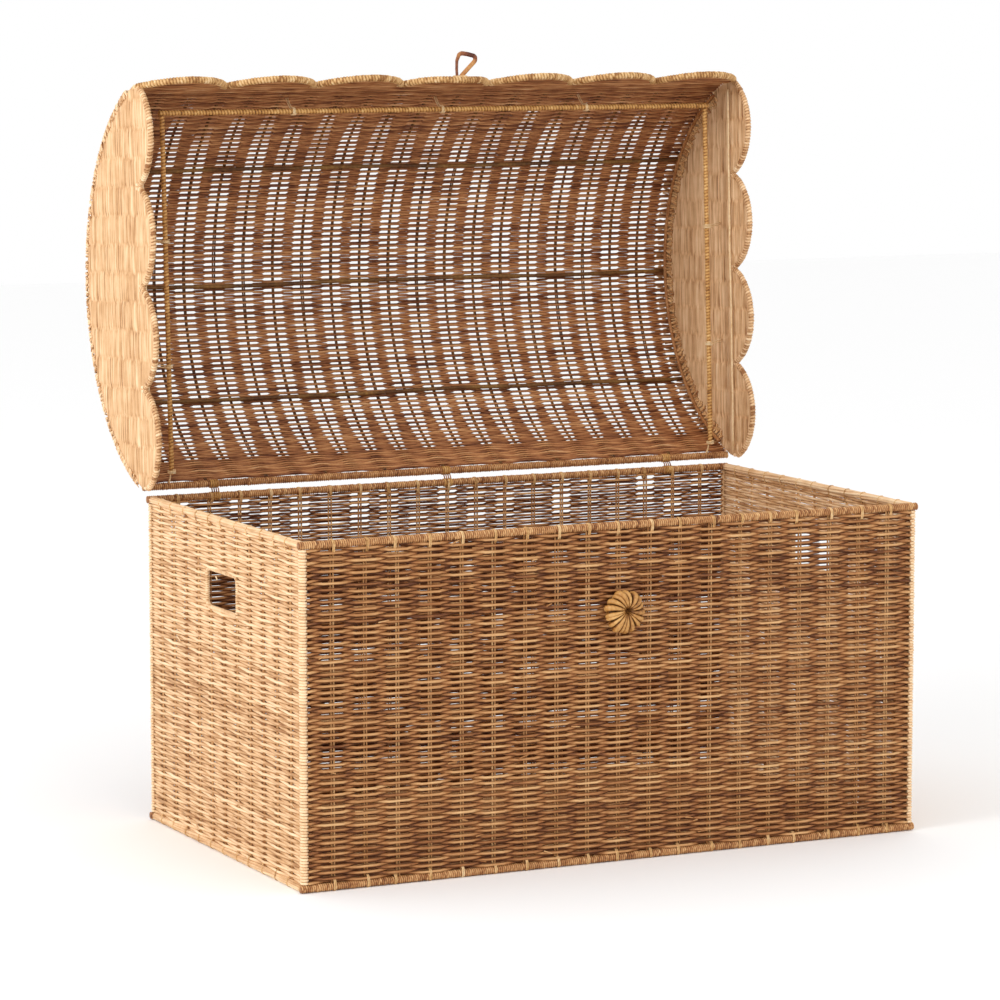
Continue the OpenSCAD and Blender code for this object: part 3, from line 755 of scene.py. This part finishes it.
for face, side in (("left", -1), ("right", 1)):
    woven = Strands(6)
    rows = np.arange(SCALLOP_LOW + 0.004, DOME_TOP - 0.003, GABLE_ROW)
    # edge and deep set the painted shade on the gable's strands.
    weave(woven, lambda a, b, d: lid_point(side * (GABLE_X + d), GABLE_BACK + a, b),
          lambda a, b: np.array([side, 0, 0], float), rows, gable_spans, GABLE_PITCH, 0.0011,
          lambda b: (0.0, 0.30), lambda b: 0.00155, 0.62, spread=0.1, edge=0.25, deep=0.25)
    woven.make(f"{face}_gable_weave", "lid", gable_cane, "cane_pale", f"{face}_gable")

    rods = Strands(6)
    for j in range(1, GABLE_STAKES):
        u = GABLE_BACK + j * GABLE_PITCH
        top = DOME_V + math.sqrt((DOME_R - 0.006) ** 2 - (u - DOME_U) ** 2)
        rods.add(line(lid_point(side * GABLE_X, u, NOTCH_V), lid_point(side * GABLE_X, u, top), 3),
                 (side, 0, 0), 0.0010, 0.4)
    rods.make(f"{face}_gable_stake_rods", "lid", stake_cane, "stake", f"{face}_gable_stakes")

    # The gable's strands end over the dome's edge, wrapped side by side and a little frayed.
    wraps = Strands(5)
    a0, a1 = edge_angles()
    for a in np.arange(a0, a1, 0.0030 / DOME_R):
        a = a + rng.normal() * 0.0012 / DOME_R
        lean = rng.normal() * 0.0035 / DOME_R
        back = rng.uniform(0.004, 0.009)
        reach = np.array([-0.008, -0.0035, 0.0, 0.0016, 0.0012, 0.0006]) + DOME_R
        x = np.array([GABLE_X + 0.0026, GABLE_X + 0.0030, GABLE_X + 0.0022, GABLE_X - 0.0015,
                      GABLE_X - 0.005, GABLE_X - 0.005 - back])
        at = a + lean * np.linspace(-1, 1, 6)
        path = lid_point(side * x, DOME_U + reach * np.cos(at), DOME_V + reach * np.sin(at))
        normal = lid_direction(side, math.cos(a), math.sin(a))
        wraps.add(path, normal, 0.0013 * (1 + 0.1 * rng.normal()), 0.6 + 0.2 * rng.normal())
    for _ in range(60):
        a = rng.uniform(a0, a1)
        t = np.linspace(0, 1, 4)
        out = rng.uniform(0.002, 0.0065)
        slip = rng.normal() * 0.006 / DOME_R
        path = lid_point(side * (GABLE_X + 0.002 - 0.004 * t),
                         DOME_U + (DOME_R + out * t) * np.cos(a + slip * t),
                         DOME_V + (DOME_R + out * t) * np.sin(a + slip * t))
        wraps.add(path, lid_direction(side, 0, 0), 0.0009 * np.linspace(1, 0.6, 4),
                  0.75 + 0.15 * rng.normal())
    wraps.make(f"{face}_dome_edge_wraps", "lid", end_peel, "tie_peel")

    rod = Strands(10)
    arch_low, arch_high = lid_box(f"{face}_arch")
    arch_x = (arch_low[0] + arch_high[0]) / 2
    arch_r = (arch_high[0] - arch_low[0]) / 2
    at = np.linspace(a0 + 0.03, a1 - 0.03, 160)
    dist = DOME_R - 0.007 - arch_r
    rod.add(lid_point(arch_x, DOME_U + dist * np.cos(at), DOME_V + dist * np.sin(at)), (1, 0, 0),
            arch_r * 0.6, 0.4)
    # The gable's strands end inside over this rod.
    for a in np.arange(a0 + 0.03, a1 - 0.03, 0.0028 / DOME_R):
        t = np.linspace(0, 1, 6)
        reach = dist - arch_r * 0.6 - 0.0012 - rng.uniform(0.003, 0.010) * (1 - t) ** 2
        x = side * (GABLE_IN - 0.0006 - (GABLE_IN - 0.0006 - abs(arch_x)) * t ** 1.5)
        slip = a + rng.normal() * 0.0025 / DOME_R * t
        rod.add(lid_point(x, DOME_U + reach * np.cos(slip), DOME_V + reach * np.sin(slip)), (side, 0, 0),
                0.0011 * np.linspace(1.1, 0.8, 6), 0.75 + 0.15 * rng.normal())
    rod.make(f"{face}_arch_rod", "lid", front_cane, "rim_peel", f"{face}_arch")


def lobe_path(pitch):
    """One lobe's edge in (across, height above the lobe's lowest point): the short end that turns up at the
    notch on its left, the lobe itself, and the end on its right."""
    curl = 0.009
    r = lobe_radius(pitch) - 0.002
    half = math.asin((pitch / 2 - 0.0022) / r)
    a = np.linspace(-half, half, 40)
    across, height = r * np.sin(a), 0.002 + r - r * np.cos(a)
    start, end = (across[0], height[0]), (across[-1], height[-1])
    rise = np.linspace(1, 0.15, 6) * curl
    left = np.stack([np.full(6, start[0]) + 0.0004 * np.sin(rise / curl * 3), start[1] + rise], axis=-1)
    right = np.stack([np.full(6, end[0]) - 0.0004 * np.sin(rise / curl * 3), end[1] + rise], axis=-1)[::-1]
    return left, np.stack([across, height], axis=-1), right


def bind_lobes(name, node, count, pitch, first, to_points, normal, thick, peel, tone):
    """The wound edge of a row of lobes, of radius thick, with its two ends at each notch."""
    bound = Strands(8)
    for i in range(count):
        centre = first + (i + 0.5) * pitch
        left, middle, right = lobe_path(pitch)
        for part in (left, right):
            bound.add(to_points(centre + part[:, 0], SCALLOP_LOW + part[:, 1]), normal, 0.0027,
                      0.75 + 0.1 * rng.normal())
        bound.wound(to_points(centre + middle[:, 0], SCALLOP_LOW + middle[:, 1]), normal, thick, 0.0038,
                    ridge=0.36, tone=tone, vary=0.2)
    bound.make(name, "lid", peel, "tie_peel", node)


bind_lobes("front_scallop_binding", "front_edge_binding", SCALLOP_N, 2 * GABLE_OUT / SCALLOP_N, -GABLE_OUT,
           lambda c, v: lid_point(c, SKIRT_U + flare(v, c), v), lid_direction(0, 1, 0), 0.0045, tie_peel, 0.5)
for face, side in (("left", -1), ("right", 1)):
    bind_lobes(f"{face}_scallop_binding", f"{face}_edge_binding", END_SCALLOP_N, END_PITCH, GABLE_BACK,
               lambda c, v: lid_point(side * GABLE_X, c, v), (1, 0, 0), 0.0038, end_peel, 0.55)


def wound_node(name, node, material, pitch=0.0040, shrink=1.0, tone=0.6):
    """A wound bar in the place of a straight CAD bar of the lid."""
    a, b = lid_box(node)
    axis = int(np.argmax(b - a))
    middle = (a + b) / 2
    r = np.delete(b - a, axis).min() / 2 * shrink
    start, end = middle.copy(), middle.copy()
    start[axis], end[axis] = a[axis], b[axis]
    bar = Strands(10)
    bar.wound(line(lid_point(*start), lid_point(*end)), (0, 0, 1) if axis == 0 else (1, 0, 0), r, pitch,
              ridge=0.28, tone=tone)
    bar.make(name, "lid", material, "rim_peel", node)


wound_node("lid_rear_bar_wound", "lid_rim_back", rim_peel, pitch=0.0026, tone=0.68)
wound_node("lid_frame_front_wound", "lid_frame_front", long_peel, shrink=0.85, tone=0.7)
wound_node("lid_frame_left_wound", "lid_frame_left", long_peel, shrink=0.8)
wound_node("lid_frame_right_wound", "lid_frame_right", long_peel, shrink=0.8, tone=0.75)
for i in (1, 2, 3):
    rod = Strands(8)
    rod_low, rod_high = lid_box(f"dome_bar_{i}")
    middle = (rod_low + rod_high) / 2
    x = np.linspace(rod_low[0], rod_high[0], 90)
    bow = wander(x, 0.0012, 0.5)
    r = 0.0025 * (1 + wander(x, 0.06, 0.12))
    rod.add(lid_point(x, middle[1] + bow, middle[2]), lid_direction(0, 0, 1), r, 0.5 + wander(x, 0.25, 0.2))
    rod.make(f"dome_bar_{i}_rod", "lid", hoop_cane, "stake", f"dome_bar_{i}")


# Thin cords that hold the inner frame, each made of two strands.
frame_front = (lid_box("lid_frame_front")[0] + lid_box("lid_frame_front")[1]) / 2
frame_right = (lid_box("lid_frame_right")[0] + lid_box("lid_frame_right")[1]) / 2
FRAME_R = (lid_box("lid_frame_front")[1][2] - lid_box("lid_frame_front")[0][2]) / 2
CORD_R, CORD_TONE = 0.0007, 0.85
cords = Strands(6)


def frame_cord(bar, along, target):
    """Two and a half turns round a frame bar and a cord from it to the target, all in lid coordinates."""
    bar, target, along = np.array(bar, float), np.array(target, float), np.array(along, float)
    to = unit((target - bar) * (1 - along))
    side = unit(np.cross(along, to))
    a = np.linspace(0, TAU * 2.5, 26)
    shift = np.linspace(-0.0022, 0.0022, 26)
    r = FRAME_R + 0.0006
    turns = bar + shift[:, None] * along + r * (np.cos(a)[:, None] * to + np.sin(a)[:, None] * side)
    cords.add(lid_point(*turns.T), unit(lid_direction(*(turns - bar).T)), CORD_R, CORD_TONE)
    t = np.linspace(0, 1, 8)
    for off in (-0.0012, 0.0012):
        straight = bar + r * to + along * off + (target - bar - r * to) * t[:, None]
        straight = straight + side * (0.0012 * np.sin(math.pi * t))[:, None]
        cords.add(lid_point(*straight.T), lid_direction(0, 1, 0.3), CORD_R, CORD_TONE)


FRONT_CORD_REACH = 0.2258  # from the dome's middle to where a front cord meets its inside
for x in (-HALF_W / 2, 0.0, HALF_W / 2):
    frame_cord((x, frame_front[1], frame_front[2]), (1, 0, 0), (x + 0.004, DOME_U + FRONT_CORD_REACH, 0.015))
for side in SIDES:
    bar_x = side * frame_right[0]
    for u in (0.150, 0.300):
        frame_cord((bar_x, u, frame_front[2]), (0, 1, 0), (side * (GABLE_IN - 0.0004), u + 0.003, 0.008))
    frame_cord((bar_x, 0.023, frame_front[2]), (0, 1, 0), (bar_x, REAR_BAR[1] + 0.003, REAR_BAR[2] - 0.002))
    # A pale strand along the gable's inside, just above the notches.
    u = np.linspace(0.012, LID_FRONT - 0.014, 30)
    cords.add(lid_point(side * (GABLE_IN - 0.0024), u, NOTCH_V + 0.003 + wander(u, 0.0008, 0.3)),
              (side, 0, 0), 0.0013, 0.9)
cords.make("frame_cords", "lid", tie_peel, "tie_peel", "frame_ties")


# Hinge bindings: turns round each bar, and strips that cross between them.
HINGE_HALF = 0.010
hinge_x = high("upper_hinge_loops")[0] - HINGE_HALF
upper, lower, bridge = Strands(6), Strands(6), Strands(6)
rear = lid_point(0, REAR_BAR[1], REAR_BAR[2])
for x in (-hinge_x, 0.0, hinge_x):
    for k in range(4):
        at = x - 0.0042 + 0.0028 * k
        a = np.linspace(0, TAU, 17)
        for strands, y, z in ((upper, rear[1], rear[2]), (lower, WALL_Y, HEIGHT - RIM_R)):
            r = RIM_R + 0.0003
            path = np.stack([at + 0.0004 * a / TAU, y + r * np.cos(a), z + r * np.sin(a)], axis=-1)
            strands.add(path, unit(path - np.array([at, y, z])), 0.0004, 0.5 + 0.15 * rng.normal(), flat=3.1)
        t = np.linspace(0, 1, 7)[:, None]
        start = np.array([at, WALL_Y - 0.002, HEIGHT + 0.0004])
        end = np.array([at + 0.0015, rear[1] - 0.002, rear[2] - RIM_R - 0.0004])
        bridge.add(start + (end - start) * t, (0, 1, 0), 0.0006, 0.5 + 0.15 * rng.normal(), flat=1.5)
upper.make("upper_hinge_turns", "lid", long_peel, "tie_peel", "upper_hinge_loops")
lower.make("lower_hinge_turns", "base", long_peel, "tie_peel", "lower_hinge_loops")
bridge.make("hinge_crossings", None, strap_peel, "tie_peel")
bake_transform(bpy.data.objects["hinge_crossings"])


# ---- knob and closure loop ----

knob_low, knob_high = low("knob"), high("knob")
knob_middle = (knob_low + knob_high) / 2
knob_radius, knob_thick = (knob_high[0] - knob_low[0]) / 2, knob_high[1] - knob_low[1]
PLEATS = 18
widths = rng.uniform(0.7, 1.3, PLEATS)
edges = np.concatenate([[0], np.cumsum(widths)]) / widths.sum() * TAU
rosette = Strands(10)
# Each pleat runs from the pit over the top and round the edge to the back.
profile_r = np.array([0.06, 0.13, 0.26, 0.44, 0.62, 0.77, 0.86, 0.87, 0.80, 0.66])
profile_h = np.array([0.30, 0.55, 0.74, 0.82, 0.80, 0.70, 0.54, 0.36, 0.20, 0.10])
fine_t = np.linspace(0, 1, 30)
coarse_t = np.linspace(0, 1, 10)
for k in range(PLEATS):
    share = widths[k] / widths.sum() * PLEATS
    rho = np.interp(fine_t, coarse_t, profile_r) * knob_radius * rng.uniform(0.96, 1.02)
    rise = np.interp(fine_t, coarse_t, profile_h) * knob_thick * rng.uniform(0.95, 1.03)
    ang = (edges[k] + edges[k + 1]) / 2 + rng.uniform(0.15, 0.4) * fine_t
    drift = 1 - fine_t
    x = knob_middle[0] + 0.16 * knob_radius * drift + rho * np.cos(ang)
    z = knob_middle[2] + 0.08 * knob_radius * drift + rho * np.sin(ang)
    path = np.stack([x, knob_high[1] - rise, z], axis=-1)
    thick = np.clip(0.95 * math.pi * rho / PLEATS * share, 0.0006, None)
    facing = np.stack([np.cos(ang) * 0.6, -np.ones(30), np.sin(ang) * 0.6], axis=-1)
    across = np.cos(TAU * (np.arange(10) + 0.5) / 10)
    # Painted shade: each pleat is darker down in the pit and along its two edges.
    light = 0.12 + 0.4 * np.clip(fine_t / 0.35, 0, 1) + 0.12 * rng.normal()
    rosette.add(path, unit(facing), thick, light[:, None] - 0.7 * across[None, :] ** 4)
# The core under the pleats is near black (tone 0.05): painted shade where it shows between the pleats.
core_y = knob_high[1] - np.linspace(0.0, 0.36, 12) * knob_thick
rosette.add(np.stack([np.full(12, knob_middle[0]), core_y, np.full(12, knob_middle[2])], axis=-1), (1, 0, 0),
            knob_radius * 0.74, 0.05)
rosette.make("knob_rosette", "base", honey_peel, "honey_peel", "knob")

eye_low, eye_high = lid_box("loop_eye")
loop_low, loop_high = lid_box("closure_loop")
eye = (eye_low + eye_high) / 2
eye[1] = loop_low[1] + 0.00305
knot = Strands(6)
for k in range(7):
    at = eye[0] - 0.0075 + 0.0025 * k
    a = np.linspace(-0.4, math.pi + 0.4, 12)
    path = lid_point(at + 0.0008 * np.sin(a), LID_FRONT + 0.0058 * np.sin(a), eye[2] + 0.0048 * np.cos(a))
    knot.add(path, unit(path - lid_point(at, LID_FRONT, eye[2])), 0.0007, 0.75 + 0.15 * rng.normal(),
             flat=2.2)
knot.make("loop_knot", "lid", tie_peel, "tie_peel", "loop_eye")

tall = loop_high[1] - eye[1]
strip = Strands(6)
# The loop's outline in (metres across from the eye, share of its height).
outline = np.array([(-0.0035, 0.0), (-0.0040, 0.35), (-0.0035, 0.72), (-0.0005, 0.97), (0.0030, 1.03),
                    (0.0110, 0.99), (0.0195, 0.92), (0.0215, 0.86), (0.0215, 0.72), (0.0190, 0.63),
                    (0.0120, 0.40), (0.0030, 0.10), (0.0010, 0.0)])
path = np.stack([eye[0] + outline[:, 0], eye[1] + outline[:, 1] * tall, np.full(len(outline), eye[2])],
                axis=-1)
smooth = resample(lid_point(*path.T), 0.0015)
facing = lid_direction(0, 0, 1)
way = np.linspace(0, 1, len(smooth))
turn = np.interp(way, [0, 0.2, 0.4, 0.8, 1], [0.55, 0.5, 0.1, 0.1, 0.3])
sideways = np.cross(unit(np.gradient(smooth, axis=0)), facing)
normals = unit(np.cos(turn)[:, None] * facing + np.sin(turn)[:, None] * sideways)
strip_tone = np.interp(way, [0, 0.25, 0.33, 0.52, 0.58, 0.7, 1], [0.3, 0.35, 0.65, 0.12, 0.15, 0.85, 0.7])
strip.add(smooth, normals, 0.0006, strip_tone, flat=5.2)
strip.make("closure_strip", "closure_loop_body", strap_peel, "honey_peel", "closure_loop")


# ---- kept CAD nodes ----

for node, material in (("knob_lashing", plain_peel), ("knob_toggle", plain_cane),
                       ("floor_slat_1", plain_cane), ("floor_slat_2", plain_cane),
                       ("floor_slat_3", plain_cane)):
    mesh = frame["nodes"][node].data
    mesh.materials.clear()
    mesh.materials.append(material)


# ---- camera, light and floor ----

scene = bpy.context.scene
camera = bpy.data.objects.new("camera", bpy.data.cameras.new("camera"))
scene.collection.objects.link(camera)
scene.camera = camera
camera.data.sensor_width = 36.0
camera.data.lens = 147.1
azimuth, elevation, distance = math.radians(-26.06), math.radians(7.09), 4.88
aim = np.array([-0.0391, 0.0, 0.398])
camera.location = aim + distance * np.array([
    math.sin(azimuth) * math.cos(elevation), -math.cos(azimuth) * math.cos(elevation), math.sin(elevation)])
camera.rotation_euler = (math.pi / 2 - elevation, 0.0, azimuth)
camera.data.clip_end = 100.0


def area_light(name, size, power, location, target):
    data = bpy.data.lights.new(name, "AREA")
    data.shape, data.size, data.energy = "DISK", size, power
    lamp = bpy.data.objects.new(name, data)
    lamp.location = location
    direction = np.asarray(target, float) - np.asarray(location, float)
    lamp.rotation_euler = (math.acos(-direction[2] / np.linalg.norm(direction)), 0.0,
                           math.atan2(-direction[0], direction[1]))
    scene.collection.objects.link(lamp)


area_light("key_left", 2.0, 75, (-4.2, -0.9, 2.3), (0, 0, 0.4))
area_light("front_fill", 2.5, 22, (0.2, -4.4, 2.8), (0, 0, 0.4))
world = bpy.data.worlds.new("studio")
scene.world = world
world.use_nodes = True
world.node_tree.nodes["Background"].inputs["Color"].default_value = (1, 1, 1, 1)
world.node_tree.nodes["Background"].inputs["Strength"].default_value = 1.0
scene.view_settings.view_transform = "Standard"

floor_mesh = bpy.data.meshes.new("studio_floor")
floor_mesh.from_pydata([(-9, -9, 0), (9, -9, 0), (9, 9, 0), (-9, 9, 0)], [], [(0, 1, 2, 3)])
studio_floor = bpy.data.objects.new("studio_floor", floor_mesh)
scene.collection.objects.link(studio_floor)
studio_floor.location.z = low("bottom_rim_front")[2] - 0.0002
paper = bpy.data.materials.new("paper")
paper.use_nodes = True
paper.node_tree.nodes["Principled BSDF"].inputs["Base Color"].default_value = (0.97, 0.97, 0.97, 1)
paper.node_tree.nodes["Principled BSDF"].inputs["Roughness"].default_value = 0.9
floor_mesh.materials.append(paper)
